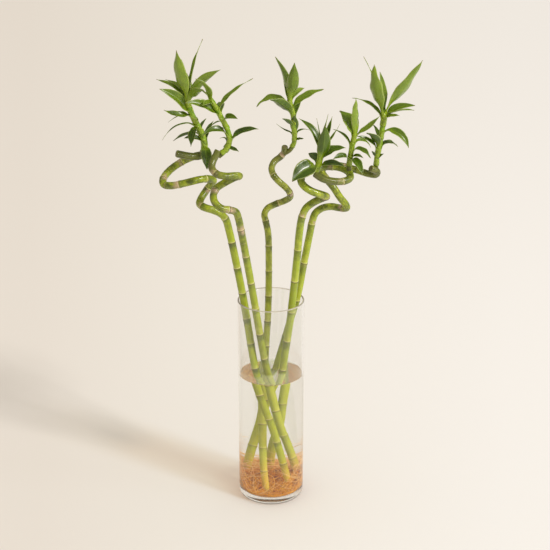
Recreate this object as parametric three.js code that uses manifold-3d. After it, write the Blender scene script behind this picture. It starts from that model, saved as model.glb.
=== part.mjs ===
// Lucky bamboo: five spiral canes with six leafy shoots, standing in a glass cylinder of water.
// Millimetres, +Z up. The origin is the centre of the vase's flat underside, and the front is -Y.

import * as THREE from 'three';
import { mergeVertices } from 'three/addons/utils/BufferGeometryUtils.js';
import Module from 'manifold-3d';

const wasm = await Module();
wasm.setup();

// Driving dimensions
const gap = 0.3; // clearance kept between neighbouring pieces
const vase = { radius: 46, height: 300, wall: 2.4, floor: 12, heel: 8, innerCorner: 5, facets: 48 };
const water = { level: 189, meniscus: 1.6, meniscusWidth: 2.5, skirtFoot: 18 };
const mat = { radius: 40.2, height: 46, facets: 20, rim: 1.5, heel: 6, strands: 26, strandRadius: 1.05 };
const bed = { front: 2.5, back: 26, frontEdge: -28, backEdge: 10, sides: 8 }; // how the root mat slopes
const strand = { steps: 5, turnBetween: 2.4, curlRise: 12, waves: 9 };
const pocket = { clearance: 1, rise: 5, crown: 3 }; // the room in the water for the roots
const cane = { sides: 7, legShare: 0.3 };
const joint = { collar: 1.07, waist: 0.95, length: 1.6, pastLast: 14 };
const bend = { maxStep: 19, stemStep: 17, maxAngle: 0.5, stemAngle: 0.4 };
const hole = { pastFoot: 3, pastTop: 0.4 };
const stem = { sides: 6 };
const leaf = { thickness: 0.7, fold: 0.1, baseWidth: 2.6, tipWidth: 0.9, narrow: 5.5, short: 29 };

const innerRadius = vase.radius - vase.wall;
const up = new THREE.Vector3(0, 0, 1);

// Routes of the canes, from the foot on the glass floor to the cut top. The three radii are at the foot,
// where the leg is thickest, and at the top. The two joint lengths are from the foot to the first joint,
// and from each joint to the next.
const canes = [
  {
    name: 'cane_1', radii: [4, 5.15, 4.8], joints: [5.5, 37.6], color: 0x8fa61f,
    route: [
      [20, -5, 13.4], [15.4, -9, 44], [9.5, -13, 77], [0.5, -16.5, 119], [-8.8, -15.5, 150],
      [-16.3, -13, 178], [-23, -10, 207], [-35, -8, 288], [-48.5, -10, 366], [-56, -11, 404],
      [-60, -14, 420], [-67, -19, 430], [-77, -23, 436], [-87, -22, 439], [-94, -14, 441], [-93, -3, 445],
      [-87, 5, 453], [-80, 4, 463], [-76, -4, 471], [-81, -14, 476], [-93, -24, 478], [-112, -30, 475],
      [-129, -28, 471], [-140, -20, 470], [-142, -8, 474], [-134, 6, 482], [-118, 12, 492],
      [-101, 10, 500], [-91, 2, 504], [-94, -8, 505], [-105, -15, 507], [-123, -20, 512],
    ],
  },
  {
    name: 'cane_2', radii: [3.9, 5, 4.7], joints: [45, 41], color: 0x8a9f2a,
    route: [
      [26, 14, 13.4], [22.5, 8, 46], [16.5, 1, 82], [9.2, -2.5, 113], [2.5, -3.5, 150], [-4, -5.5, 189],
      [-9, -11, 215], [-21, -26, 298], [-32, -39, 372], [-39, -46, 416], [-42, -50, 433], [-45, -54, 443],
      [-53, -60, 448], [-63, -63, 451], [-71, -60, 457], [-74, -52, 464], [-70, -43, 472],
      [-59, -37, 478], [-47, -39, 485], [-40, -48, 490], [-46, -57, 493], [-58, -62, 494],
      [-69, -62, 497], [-75, -56, 503], [-74, -50, 510], [-70, -46, 517], [-67, -44, 523],
    ],
  },
  {
    name: 'cane_3', radii: [4.1, 4.8, 4.4], joints: [32, 35.8], color: 0x93a826,
    route: [
      [-5.5, -20, 13.6], [-8.2, -14.5, 46], [-9, -7.5, 84], [-8.9, -1.5, 118], [-8, 5.5, 148],
      [-8.2, 12.5, 175], [-8, 20.5, 202], [-4, 34, 272], [-3, 44, 340], [-4, 50, 378], [-7, 52, 394],
      [-9, 55, 404], [-5, 60, 411], [6, 64, 416], [18, 63, 421], [26, 57, 428], [26, 49, 437],
      [20, 43, 447], [10, 40, 457], [3, 44, 465], [1, 52, 472], [5, 59, 479], [13, 61, 485],
      [18, 59, 492], [19, 56, 501],
    ],
  },
  {
    name: 'cane_4', radii: [3.4, 5.2, 4.7], joints: [37, 49], color: 0x8fae1c,
    route: [
      [-1, 27, 13.4], [-0.8, 22, 48], [2, 16, 80], [8, 10, 112], [10.8, 5, 142], [14.3, 1, 172],
      [18, -1, 206], [28, -19, 293], [35, -34, 373], [38, -41, 414], [41, -43, 433], [46, -41, 444],
      [56, -37, 451], [67, -39, 457], [72, -47, 462], [65, -54, 467], [54, -58, 472], [44, -56, 478],
      [39, -49, 484], [43, -41, 491], [56, -35, 496], [74, -32, 498], [91, -35, 497], [101, -43, 493],
      [102, -53, 489], [94, -61, 487], [80, -65, 488], [66, -66, 492], [56, -63, 498],
    ],
  },
  {
    name: 'cane_5', radii: [3.5, 5.1, 4.6], joints: [62, 57], color: 0x97a92c,
    route: [
      [-26.5, 11, 13.2], [-22, 13.5, 37], [-16.5, 15.5, 72], [-10, 17.5, 106], [-4, 18.5, 147],
      [2.7, 16, 174], [8, 14, 193], [25, 13, 255], [37, 8, 303], [45, 6, 350], [53, 4, 396], [56, 4, 412],
      [60, 6, 422], [69, 9, 428], [81, 10, 430], [93, 7, 429], [101, 0, 431], [100, -7, 438],
      [92, -10, 449], [83, -11, 463], [74, -8, 474], [68, -1, 481], [71, 8, 485], [84, 13, 487],
      [100, 15, 484], [116, 12, 480], [130, 6, 477], [139, -1, 478], [140, -7, 484], [131, -12, 490],
    ],
  },
];

// Leafy shoots, with the stem's radius at its base and tip. Each leaf is [place along the stem, compass
// angle, lean above level, length, width, height of the middle above the chord, turn about its own
// length], in mm and degrees. The compass angle is 0 to the right (+X) and 90 to the back (+Y).
const shoots = [
  {
    name: 'shoot_1', on: 0, radii: [4.1, 3.6], color: 0x4f8422,
    route: [
      [-90, 2, 503], [-87, 0, 517], [-89, -1, 529], [-96, -2, 546], [-103, -2, 561], [-107, -2, 574],
      [-107, -2, 586],
    ],
    leaves: [
      [0.97, 150, 80, 48, 14, -3, 0], [0.985, -140, 75, 63, 20, -4, 25], [1, 10, 74, 74, 10, 3, 15],
      [0.95, -20, 41, 61, 13, 5, -60], [0.93, -55, 26, 40, 12, 4, -60], [0.95, 164, 27, 48, 12, 3, -5],
      [0.98, 144, 24, 41, 10, 3, 0], [0.66, -164, 42, 58, 16, 6, -60], [0.7, -150, 14, 41, 12, -4, -32],
      [0.7, 156, -23, 38, 4, 3, 30], [0.53, -168, -23, 50, 4, 9, -15], [0.5, -110, -44, 32, 13, 5, 15],
      [0.38, 160, -20, 43, 9, 3, 30], [0.24, -151, 15, 30, 9, 3, -38], [0.16, -80, -48, 34, 15, 6, 0],
      [0.25, 51, 49, 30, 8, 2, 5], [0.44, 68, 23, 24, 6, 1, -15], [0.85, 95, 48, 46, 12, 4, 10],
    ],
  },
  {
    name: 'shoot_2', on: 1, radii: [3.6, 2.9], color: 0x4c7f25,
    route: [
      [-67, -44, 515], [-60, -43, 521], [-54, -42, 530], [-53, -42, 542], [-57, -43, 555],
      [-63, -44, 567], [-70, -45, 580], [-77, -46, 594],
    ],
    leaves: [
      [0.93, -146, 53, 38, 12, 4, 15], [0.9, -120, 2, 24, 8, 2, -30], [0.79, 12, 38, 60, 9, 4, 20],
      [0.66, -160, 25, 52, 15, 6, -45], [0.63, -38, 8, 26, 9, 3, 45], [0.58, 146, -28, 26, 4, 3, 25],
      [0.36, -156, 6, 36, 11, 8, -30], [0.44, 138, -12, 26, 5, 3, 30], [0.3, -12, 22, 42, 10, 5, 42],
      [0.18, -30, -10, 18, 6, 1, 35], [0.24, -140, 33, 17, 4, 4, 20], [0.28, 50, 16, 16, 5, 1, 15],
      [0.98, 165, 30, 22, 9, 2, 20], [0.72, 85, 8, 36, 11, 4, 0],
    ],
  },
  {
    name: 'shoot_3', on: 2, radii: [3.0, 3.3], color: 0x4a7a20,
    route: [
      [18, 58, 490], [26, 56, 496], [31, 55, 506], [32, 54, 516], [31, 53, 530], [30, 53, 545],
      [26, 53, 560], [25, 53, 573],
    ],
    leaves: [
      [0.94, -174, 71, 60, 13, 4, 45], [0.97, -66, 73, 51, 17, -3, -25], [0.93, 47, 19, 32, 10, 3, 20],
      [0.81, 8, 27, 50, 12, 4, 35], [0.86, 167, -8, 47, 13, 10, -25], [0.7, -144, 33, 45, 15, 4, 50],
      [0.42, -93, 72, 26, 12, 2, 0], [0.52, -138, 32, 25, 7, 1, 40], [0.4, 161, 23, 28, 4, -2, -10],
      [0.4, 16, 7, 22, 4, 3, 15], [0.3, -21, 10, 14, 5, 0, 30], [0.9, 110, 58, 46, 12, 4, 0],
      [0.66, 70, 30, 36, 10, 4, 10],
    ],
  },
  {
    name: 'shoot_4', on: 3, radii: [3.6, 3.4], color: 0x3f6a1c,
    route: [[57, -63, 496], [60, -61, 505], [62, -60, 513], [64, -60, 524], [65, -60, 534]],
    leaves: [
      [0.56, -56, 77, 46, 18, -3, -35], [0.7, 153, 54, 53, 13, 8, -15], [0.85, -156, 80, 42, 5, 1, 0],
      [0.85, 37, 77, 46, 8, 1, 0], [0.9, 36, 67, 42, 9, -2, 0], [0.9, -5, 55, 39, 7, -2, 20],
      [0.32, -146, -20, 43, 24, 5, -45], [0.42, 118, 10, 28, 11, 3, -25], [0.5, -11, 28, 38, 13, 5, 42],
      [0.28, -28, 8, 38, 12, 4, 28],
    ],
  },
  {
    name: 'shoot_5', on: 3, radii: [3.4, 3], color: 0x4f7c2c,
    route: [
      [101, -44, 493], [101, -43, 503], [102, -43, 512], [104, -44, 526], [106, -44, 538],
      [109, -44, 549],
    ],
    leaves: [
      [0.93, -94, 82, 48, 12, 2, 40], [0.86, 140, 50, 38, 20, 6, -22], [0.92, -11, 39, 40, 10, -3, 35],
      [0.62, 162, 39, 33, 7, 4, -5], [0.56, -27, -18, 28, 9, 5, 22], [0.36, -48, 10, 24, 6, 3, 30],
      [0.36, -53, -34, 30, 12, 4, 12], [0.72, 30, -21, 30, 7, 6, 30], [0.36, -149, 4, 26, 10, 3, -30],
      [0.8, 80, 40, 38, 11, 4, 0],
    ],
  },
  {
    name: 'shoot_6', on: 4, radii: [2.9, 3.9], color: 0x538626,
    route: [
      [139, -5, 484], [139, -5, 494], [140, -6, 506], [143, -6, 522], [145, -6, 539], [147, -6, 553],
      [147, -6, 568],
    ],
    leaves: [
      [0.97, -165, 76, 63, 20, -5, 40], [0.98, 164, 67, 74, 11, 3, -5], [1, 121, 76, 48, 12, 2, 5],
      [1, -7, 54, 80, 18, -3, -50], [0.92, -12, 18, 42, 11, 4, 45], [0.9, 19, 4, 43, 10, 3, 0],
      [0.87, -43, 14, 26, 7, 1, 30], [0.86, 169, 30, 49, 9, 6, -20], [0.66, -17, -30, 42, 12, 9, 42],
      [0.42, -140, 40, 32, 14, 3, 20], [0.5, 112, 34, 28, 8, 2, 15], [0.42, 27, -11, 29, 9, 5, 20],
      [0.36, -172, 31, 36, 8, 4, -30], [0.24, -146, 43, 13, 5, 0, 35], [0.22, -32, 35, 12, 5, 0, 50],
    ],
  },
];

// Station along a blade, and its share of the full width there
const bladeOutline = [[0, 0.2], [0.16, 0.6], [0.42, 1], [0.74, 0.64], [1, 0]];
const shortOutline = [[0, 0.35], [0.4, 1], [0.78, 0.55], [1, 0]];

// Repeatable draws between 0 and 1
function makeRandom(seed) {
  let state = seed;
  return () => {
    state = (state * 1664525 + 1013904223) % 4294967296;
    return state / 4294967296;
  };
}

function toVectors(points) {
  return points.map(([x, y, z]) => new THREE.Vector3(x, y, z));
}

function smoothCurve(points) {
  return new THREE.CatmullRomCurve3(toVectors(points), false, 'centripetal');
}

// A closed skin over rings of points, with a flat fan on each end. A band listed in flipped is split
// along its other diagonal, so both faces of a waved blade bend alike.
function loft(rings, flipped = []) {
  const count = rings[0].length;
  const positions = rings.flat().flatMap((point) => point.toArray());
  const indices = [];
  for (let i = 0; i < rings.length - 1; i += 1) {
    for (let k = 0; k < count; k += 1) {
      const a = i * count + k;
      const b = i * count + ((k + 1) % count);
      if (flipped.includes(k)) {
        indices.push(a, b, a + count, b, b + count, a + count);
      } else {
        indices.push(a, b, b + count, a, b + count, a + count);
      }
    }
  }
  const last = (rings.length - 1) * count;
  for (let k = 1; k < count - 1; k += 1) {
    indices.push(0, k + 1, k);
    indices.push(last, last + k, last + k + 1);
  }
  const geometry = new THREE.BufferGeometry();
  geometry.setAttribute('position', new THREE.Float32BufferAttribute(positions, 3));
  geometry.setIndex(indices);
  return geometry;
}

function toSolid(geometry) {
  const bare = geometry.clone();
  bare.deleteAttribute('normal');
  bare.deleteAttribute('uv');
  const merged = mergeVertices(bare, 1e-3);
  const triangles = [];
  for (let i = 0; i < merged.index.count; i += 3) {
    const corners = [0, 1, 2].map((step) => merged.index.getX(i + step));
    if (new Set(corners).size === 3) {
      triangles.push(...corners);
    }
  }
  return new wasm.Manifold(new wasm.Mesh({
    numProp: 3,
    vertProperties: merged.attributes.position.array,
    triVerts: new Uint32Array(triangles),
  }));
}

function toGeometry(solid) {
  const mesh = solid.getMesh();
  const geometry = new THREE.BufferGeometry();
  geometry.setAttribute('position', new THREE.Float32BufferAttribute(mesh.vertProperties, 3));
  geometry.setIndex(Array.from(mesh.triVerts));
  return geometry;
}

function largestBody(solid) {
  const bodies = solid.decompose();
  return bodies.reduce((best, body) => (body.volume() > best.volume() ? body : best));
}

// Distances along a curve at which a tube needs a ring: wherever it has turned or run on far enough.
function ringPlaces(curve, maxStep, maxAngle) {
  const length = curve.getLength();
  const probes = Math.ceil(length);
  const places = [0];
  let before = curve.getTangentAt(0);
  for (let i = 1; i < probes; i += 1) {
    const place = (i / probes) * length;
    const tangent = curve.getTangentAt(i / probes);
    if (place - places.at(-1) > maxStep || before.angleTo(tangent) > maxAngle) {
      places.push(place);
      before = tangent;
    }
  }
  places.push(length);
  return places;
}

// Rings of a round tube. Each ring is [distance along the curve, radius]; the section is carried
// along without twisting.
function tubeRings(curve, stations, sides) {
  const length = curve.getLength();
  const normal = new THREE.Vector3(1, 0, 0);
  return stations.map(([place, radius]) => {
    const at = Math.min(place / length, 1);
    const centre = curve.getPointAt(at);
    const tangent = curve.getTangentAt(at);
    normal.addScaledVector(tangent, -normal.dot(tangent)).normalize();
    const side = tangent.clone().cross(normal);
    return Array.from({ length: sides }, (_, k) => {
      const angle = (k / sides) * 2 * Math.PI;
      return centre.clone()
        .addScaledVector(normal, Math.cos(angle) * radius)
        .addScaledVector(side, Math.sin(angle) * radius);
    });
  });
}

// A cane thickens up its leg and thins again over the coil.
function caneRadius([foot, leg, top], share) {
  const { lerp } = THREE.MathUtils;
  return share < cane.legShare
    ? lerp(foot, leg, share / cane.legShare)
    : lerp(leg, top, (share - cane.legShare) / (1 - cane.legShare));
}

// A cane swells to a collar at each joint and is drawn in just above it. Its joints are evenly spaced
// from the first one up.
function caneStations(curve, { radii, joints: [first, spacing] }, extra) {
  const length = curve.getLength();
  const radiusAt = (place) => caneRadius(radii, place / length);
  const marks = [];
  for (let place = first; place < length - joint.pastLast; place += spacing) {
    marks.push([place - joint.length / 2, radiusAt(place) * joint.collar + extra]);
    marks.push([place + joint.length / 2, radiusAt(place) * joint.waist + extra]);
  }
  const clear = joint.length * 1.8;
  const plain = ringPlaces(curve, bend.maxStep, bend.maxAngle)
    .filter((place) => marks.every(([mark]) => Math.abs(mark - place) > clear))
    .map((place) => [place, radiusAt(place) + extra]);
  return [...marks, ...plain].sort((a, b) => a[0] - b[0]);
}

function caneGeometry(shape) {
  const curve = smoothCurve(shape.route);
  return loft(tubeRings(curve, caneStations(curve, shape, 0), cane.sides));
}

// The plain hole that a cane stands in: its own shape, a little larger, run on past both ends.
function caneHole(shape) {
  const curve = smoothCurve(shape.route);
  const rings = tubeRings(curve, caneStations(curve, shape, gap * 1.15), cane.sides);
  const push = (ring, tangent, distance) => ring.forEach((point) => point.addScaledVector(tangent, distance));
  push(rings[0], curve.getTangentAt(0), -hole.pastFoot);
  push(rings.at(-1), curve.getTangentAt(1), hole.pastTop);
  return toSolid(loft(rings));
}

function bladeGeometry(base, [, compass, lean, length, width, arch, turn]) {
  const azimuth = THREE.MathUtils.degToRad(compass);
  const rise = THREE.MathUtils.degToRad(lean);
  const outward = new THREE.Vector3(Math.cos(azimuth), Math.sin(azimuth), 0);
  const chord = outward.clone().multiplyScalar(Math.cos(rise)).addScaledVector(up, Math.sin(rise));
  const lift = outward.clone().multiplyScalar(-Math.sin(rise)).addScaledVector(up, Math.cos(rise));
  const outline = width > leaf.narrow && length > leaf.short ? bladeOutline : shortOutline;
  const rings = outline.map(([along, share]) => {
    const centre = base.clone()
      .addScaledVector(chord, length * along)
      .addScaledVector(lift, arch * 4 * along * (1 - along));
    const tangent = chord.clone().multiplyScalar(length).addScaledVector(lift, arch * 4 * (1 - 2 * along));
    tangent.normalize();
    const across = new THREE.Vector3(-Math.sin(azimuth), Math.cos(azimuth), 0);
    across.applyAxisAngle(tangent, THREE.MathUtils.degToRad(turn));
    const face = tangent.clone().cross(across);
    const least = along === 1 ? leaf.tipWidth : leaf.baseWidth;
    const half = Math.max(width * share, least) / 2;
    const sink = -leaf.fold * width * share;
    const point = (sideways, height) => centre.clone()
      .addScaledVector(across, sideways)
      .addScaledVector(face, height);
    const t = leaf.thickness / 2;
    return [
      point(half, t), point(0, sink + t), point(-half, t),
      point(-half, -t), point(0, sink - t), point(half, -t),
    ];
  });
  return loft(rings, [3, 4]);
}

function shootSolid(shape, holes) {
  const curve = smoothCurve(shape.route);
  const length = curve.getLength();
  const stations = ringPlaces(curve, bend.stemStep, bend.stemAngle)
    .map((place) => [place, THREE.MathUtils.lerp(...shape.radii, place / length)]);
  const parts = [toSolid(loft(tubeRings(curve, stations, stem.sides)))];
  shape.leaves.forEach((blade) => {
    parts.push(toSolid(bladeGeometry(curve.getPointAt(blade[0]), blade)));
  });
  return largestBody(wasm.Manifold.union(parts).subtract(holes[shape.on]));
}

function arcPoints(centreX, centreZ, radius, fromAngle, toAngle, steps) {
  return Array.from({ length: steps + 1 }, (_, i) => {
    const angle = THREE.MathUtils.degToRad(fromAngle + (toAngle - fromAngle) * (i / steps));
    return new THREE.Vector2(centreX + radius * Math.cos(angle), centreZ + radius * Math.sin(angle));
  });
}

function turned(profile, facets = vase.facets) {
  return new THREE.LatheGeometry(profile, facets).rotateX(Math.PI / 2);
}

function vaseGeometry() {
  const lip = vase.wall / 2;
  return turned([
    new THREE.Vector2(0, 0),
    ...arcPoints(vase.radius - vase.heel, vase.heel, vase.heel, -90, 0, 3),
    ...arcPoints(vase.radius - lip, vase.height - lip, lip, 0, 180, 4),
    ...arcPoints(innerRadius - vase.innerCorner, vase.floor + vase.innerCorner, vase.innerCorner, 0, -90, 2),
    new THREE.Vector2(0, vase.floor),
  ]);
}

// Water fills the glass round a pocket that holds the roots, and climbs a little at the wall.
function waterSolid(holes) {
  const outer = innerRadius - gap;
  const reach = mat.radius + pocket.clearance;
  const top = vase.floor + mat.height + pocket.rise;
  const body = toSolid(turned([
    new THREE.Vector2(0, top + pocket.crown),
    new THREE.Vector2(reach * 0.7, top + pocket.crown * 0.7),
    new THREE.Vector2(reach, top),
    new THREE.Vector2(reach, water.skirtFoot),
    new THREE.Vector2(outer, water.skirtFoot),
    new THREE.Vector2(outer, water.level + water.meniscus),
    new THREE.Vector2(outer - water.meniscusWidth, water.level),
    new THREE.Vector2(0, water.level),
  ]));
  return holes.reduce((solid, hole) => solid.subtract(hole), body);
}

// Height of the root mat over the glass floor: low in front, high at the back and at the sides.
function bedHeight(x, y) {
  const back = THREE.MathUtils.smoothstep(y, bed.frontEdge, bed.backEdge);
  const side = bed.sides * (x / mat.radius) ** 2;
  return THREE.MathUtils.lerp(bed.front, bed.back + side, back);
}

// The solid part of the mat: a disc whose top follows the height of the bed.
function rootBed(foot) {
  const lower = mat.radius - mat.heel;
  const outer = mat.radius - mat.rim;
  const disc = turned([
    new THREE.Vector2(0, 0),
    new THREE.Vector2(lower, 0),
    new THREE.Vector2(outer, 0.4),
    new THREE.Vector2(outer, 0.9),
    new THREE.Vector2(outer * 0.75, 1),
    new THREE.Vector2(outer * 0.4, 1),
    new THREE.Vector2(0, 1),
  ], mat.facets);
  const places = disc.attributes.position;
  for (let i = 0; i < places.count; i += 1) {
    places.setZ(i, foot + places.getZ(i) * bedHeight(places.getX(i), places.getY(i)));
  }
  return toSolid(disc);
}

// One root: it leaves the bed, runs round beside the glass and climbs as it waves up and down.
function rootStrand(index, random) {
  const start = index * strand.turnBetween;
  const sweep = (0.5 + random()) * (random() < 0.5 ? -1 : 1);
  const reach = 0.5 + random() * 0.6;
  const curl = index % 4 === 0 ? strand.curlRise : 0;
  const inner = mat.radius * 0.6;
  const outer = mat.radius - mat.strandRadius - random() * 3;
  const wave = 1 + random();
  const points = Array.from({ length: strand.steps + 1 }, (_, i) => {
    const along = i / strand.steps;
    const radius = inner + (outer - inner) * Math.sin(along * Math.PI / 2);
    const angle = start + sweep * along;
    const [x, y] = [radius * Math.cos(angle), radius * Math.sin(angle)];
    const climb = bedHeight(x, y) * (0.5 + (reach - 0.5) * along) + curl * along * along;
    const height = Math.max(climb + wave * Math.sin(along * strand.waves + index), 2 * mat.strandRadius);
    return [x, y, vase.floor + height];
  });
  const curve = smoothCurve(points);
  const length = curve.getLength();
  const stations = points.map((_, i) => [(i / strand.steps) * length, mat.strandRadius]);
  return toSolid(loft(tubeRings(curve, stations, 3)));
}

function rootMatSolid(holes) {
  const random = makeRandom(7);
  const strands = Array.from({ length: mat.strands }, (_, index) => rootStrand(index, random));
  const tangle = wasm.Manifold.union([rootBed(vase.floor + gap), ...strands]);
  return largestBody(holes.reduce((solid, hole) => solid.subtract(hole), tangle));
}

function addMesh(group, name, geometry, color, roughness, options = {}) {
  const material = new THREE.MeshStandardMaterial({ color, roughness, metalness: 0, ...options });
  const mesh = new THREE.Mesh(geometry, material);
  mesh.name = name;
  group.add(mesh);
}

const plant = new THREE.Group();
const holes = canes.map(caneHole);

addMesh(plant, 'vase', vaseGeometry(), 0xeef2ee, 0.05, { transparent: true, opacity: 0.3 });
addMesh(plant, 'water', toGeometry(waterSolid(holes)), 0xe6e2d2, 0.05, { transparent: true, opacity: 0.3 });
addMesh(plant, 'roots', toGeometry(rootMatSolid(holes)), 0xb8743a, 0.85);
canes.forEach((shape) => {
  addMesh(plant, shape.name, caneGeometry(shape), shape.color, 0.45);
});
shoots.forEach((shape) => {
  addMesh(plant, shape.name, toGeometry(shootSolid(shape, holes)), shape.color, 0.5);
});

export default plant;
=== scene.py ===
# %% [markdown]
# Lucky bamboo in a glass vase
#
# This lesson dresses a measured model of a house plant: five canes trained into spirals, six leafy
# shoots, a glass cylinder, its water and a mat of roots. The measured model is loaded first and stays
# as it is. Each later step makes the finer piece that is shown in the place of a plain one.

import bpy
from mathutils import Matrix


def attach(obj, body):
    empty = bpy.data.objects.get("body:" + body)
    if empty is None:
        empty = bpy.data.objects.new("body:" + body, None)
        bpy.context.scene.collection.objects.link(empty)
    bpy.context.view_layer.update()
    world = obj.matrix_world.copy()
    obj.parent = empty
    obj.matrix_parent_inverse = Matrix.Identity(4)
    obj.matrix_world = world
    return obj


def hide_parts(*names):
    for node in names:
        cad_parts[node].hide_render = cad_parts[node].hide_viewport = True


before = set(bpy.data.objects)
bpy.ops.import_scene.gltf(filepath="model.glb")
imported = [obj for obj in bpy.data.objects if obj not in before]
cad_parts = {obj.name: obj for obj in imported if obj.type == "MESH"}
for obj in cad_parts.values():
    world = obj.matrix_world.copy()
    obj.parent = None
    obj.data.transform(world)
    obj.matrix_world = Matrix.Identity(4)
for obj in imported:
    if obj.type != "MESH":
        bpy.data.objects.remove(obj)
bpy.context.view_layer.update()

# %% [markdown]
# Units, colours and shader nodes
#
# The scene is in metres and a plant is easier to describe in millimetres, so one constant turns
# millimetres to metres. Colours are given as sRGB hex values, and the shaders want linear light, so
# one function turns them. One other adds every shader node, with its settings and what it is linked to.

# %% Units, colours and shader nodes
import bisect
import math
import random

import bmesh
import bpy
import numpy
from mathutils import Vector

MM = 0.001


def linear(hex_colour):
    """An sRGB hex colour as the linear RGBA that a shader takes."""
    parts = [int(hex_colour[i:i + 2], 16) / 255 for i in (1, 3, 5)]
    return (*(c / 12.92 if c < 0.04045 else ((c + 0.055) / 1.055) ** 2.4 for c in parts), 1.0)


def add(tree, kind, inputs=None, stops=(), **settings):
    """Adds a node. An input is a number, a hex colour, an output, or a node, whose first output it takes."""
    node = tree.nodes.new("ShaderNode" + kind)
    for name, value in settings.items():
        setattr(node, name, value)
    for socket, value in (inputs or {}).items():
        if isinstance(value, bpy.types.Node):
            value = next(output for output in value.outputs if output.enabled)
        if isinstance(value, bpy.types.NodeSocket):
            tree.links.new(value, node.inputs[socket])
        else:
            node.inputs[socket].default_value = linear(value) if isinstance(value, str) else value
    if stops:
        elements = node.color_ramp.elements
        while len(elements) < len(stops):
            elements.new(0.5)
        for element, (position, colour) in zip(elements, stops):
            element.position, element.color = position, linear(colour)
    return node


def new_material(name):
    """An empty material and its node tree."""
    material = bpy.data.materials.new(name)
    material.use_nodes = True
    material.node_tree.nodes.clear()
    return material, material.node_tree


print("mid grey in linear light:", round(linear("#808080")[0], 3))

# %% [markdown]
# Skins in layers
#
# The skin of a plant is best told as a list of layers, from the plain colour outwards: a flush here, a
# scar there. Each layer has one colour and a few bands. A band looks at one reading, such as the
# height or a cloudy noise, and says how strongly the layer shows where the reading is low and where
# it is high (0 and 1, unless they are given). The bands of a layer are multiplied, so it shows only
# where they all agree.

# %% Paint layers over a colour
def agreement(tree, bands, readings):
    """The product of some bands."""
    strengths = [add(tree, "MapRange", dict(enumerate([readings[reading], *limits])))
                 for reading, *limits in bands]
    product = strengths[0]
    for strength in strengths[1:]:
        product = add(tree, "Math", {0: product, 1: strength}, operation="MULTIPLY")
    return product


def paint(tree, colour, layers, readings):
    """Paints layers over a colour. A layer is a hex colour and its bands."""
    for tint, *bands in layers:
        strength = agreement(tree, bands, readings)
        colour = add(tree, "Mix", {0: strength, 6: colour, 7: tint}, data_type="RGBA")
    return colour


# %% What a material reads and how it ends
def look_at(tree, *attributes, **noises):
    """Readings: x, y and height in metres, attributes, and noises by scale, detail and roughness."""
    place = add(tree, "TexCoord").outputs["Object"]
    seen = dict(zip(("x", "y", "height"), add(tree, "SeparateXYZ", {0: place}).outputs))
    for name in attributes:
        seen[name] = add(tree, "Attribute", attribute_name=name).outputs["Fac"]
    for name, values in noises.items():
        seen[name] = add(tree, "TexNoise", dict(zip(("Scale", "Detail", "Roughness"), values), Vector=place))
    return seen


def end_with(tree, sockets, bump=None, lamp_tint=None):
    """Ends a material. A bump is its height, strength and depth in mm. A lamp tint lets a lamp shine on
    through a skin in water, as the light that the water bends round it would."""
    if bump:
        height, strength, depth = bump
        bump = add(tree, "Bump", {"Height": height, "Strength": strength, "Distance": depth * MM})
        sockets = {**sockets, "Normal": bump}
    surface = add(tree, "BsdfPrincipled", sockets)
    if lamp_tint:
        passing = add(tree, "BsdfTransparent", {"Color": lamp_tint})
        shadow = add(tree, "LightPath").outputs["Is Shadow Ray"]
        surface = add(tree, "MixShader", {0: shadow, 1: surface, 2: passing})
    add(tree, "OutputMaterial", {"Surface": surface})


# %% [markdown]
# Selecting and finishing
#
# An operator acts on everything that is selected, and loading leaves the whole plant selected. So
# every step starts from nothing selected, and picks its faces or edges by where they are.

# %% Start a piece and select parts of it
def select_only(*objects):
    """Selects these objects and nothing else, and makes the first one active."""
    bpy.ops.object.select_all(action="DESELECT")
    for piece in objects:
        piece.select_set(True)
    if objects:
        bpy.context.view_layer.objects.active = objects[0]


def cylinder(radius, bottom, top, sides, **ends):
    """A new cylinder on the axis, in edit mode, with its sizes in mm and its place in its mesh."""
    select_only()
    bpy.ops.mesh.primitive_cylinder_add(vertices=sides, radius=radius * MM, depth=(top - bottom) * MM,
                                        location=(0, 0, (top + bottom) / 2 * MM), **ends)
    bpy.ops.object.transform_apply(location=True, rotation=True, scale=True)
    bpy.ops.object.mode_set(mode="EDIT")
    return bpy.context.object


def pick(piece, part, test):
    """In edit mode, selects the faces or edges whose middle or whose ends pass the test."""
    bpy.ops.mesh.select_all(action="DESELECT")
    bpy.ops.mesh.select_mode(type=part)
    mesh = bmesh.from_edit_mesh(piece.data)
    if part == "FACE":
        for face in mesh.faces:
            face.select_set(test(face.calc_center_median()))
    else:
        for edge in mesh.edges:
            edge.select_set(all(test(corner.co) for corner in edge.verts))
    mesh.select_flush_mode()
    bmesh.update_edit_mesh(piece.data)


def smooth_step(low, high, value):
    """0 below low, 1 above high, and a soft S between."""
    t = min(max((value - low) / (high - low), 0.0), 1.0)
    return t * t * (3 - 2 * t)


# %% Finish a piece
def face_outwards():
    """Turns every face of the piece in edit mode outwards, and leaves edit mode."""
    bpy.ops.mesh.select_all(action="SELECT")
    bpy.ops.mesh.normals_make_consistent(inside=False)
    bpy.ops.object.mode_set(mode="OBJECT")


def smooth_bevels(piece, sharpest):
    """Shades round edges smoothly and leaves the big faces beside them true."""
    select_only(piece)
    bpy.ops.object.shade_smooth_by_angle(angle=math.radians(sharpest))
    weighted = piece.modifiers.new("true_faces", "WEIGHTED_NORMAL")
    weighted.keep_sharp = True
    weighted.weight = 100
    bpy.ops.object.modifier_apply(modifier=weighted.name)


def finish_piece(piece, name, slot_name, materials, *nodes):
    """Names a piece, gives it its materials, and seats it in the frame in place of the plain nodes."""
    piece.name = piece.data.name = name
    for material in materials:
        piece.data.materials.append(material)
    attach(piece, "root")
    if nodes:
        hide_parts(*nodes)
    print(name, "has", len(piece.data.polygons), "faces")


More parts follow.
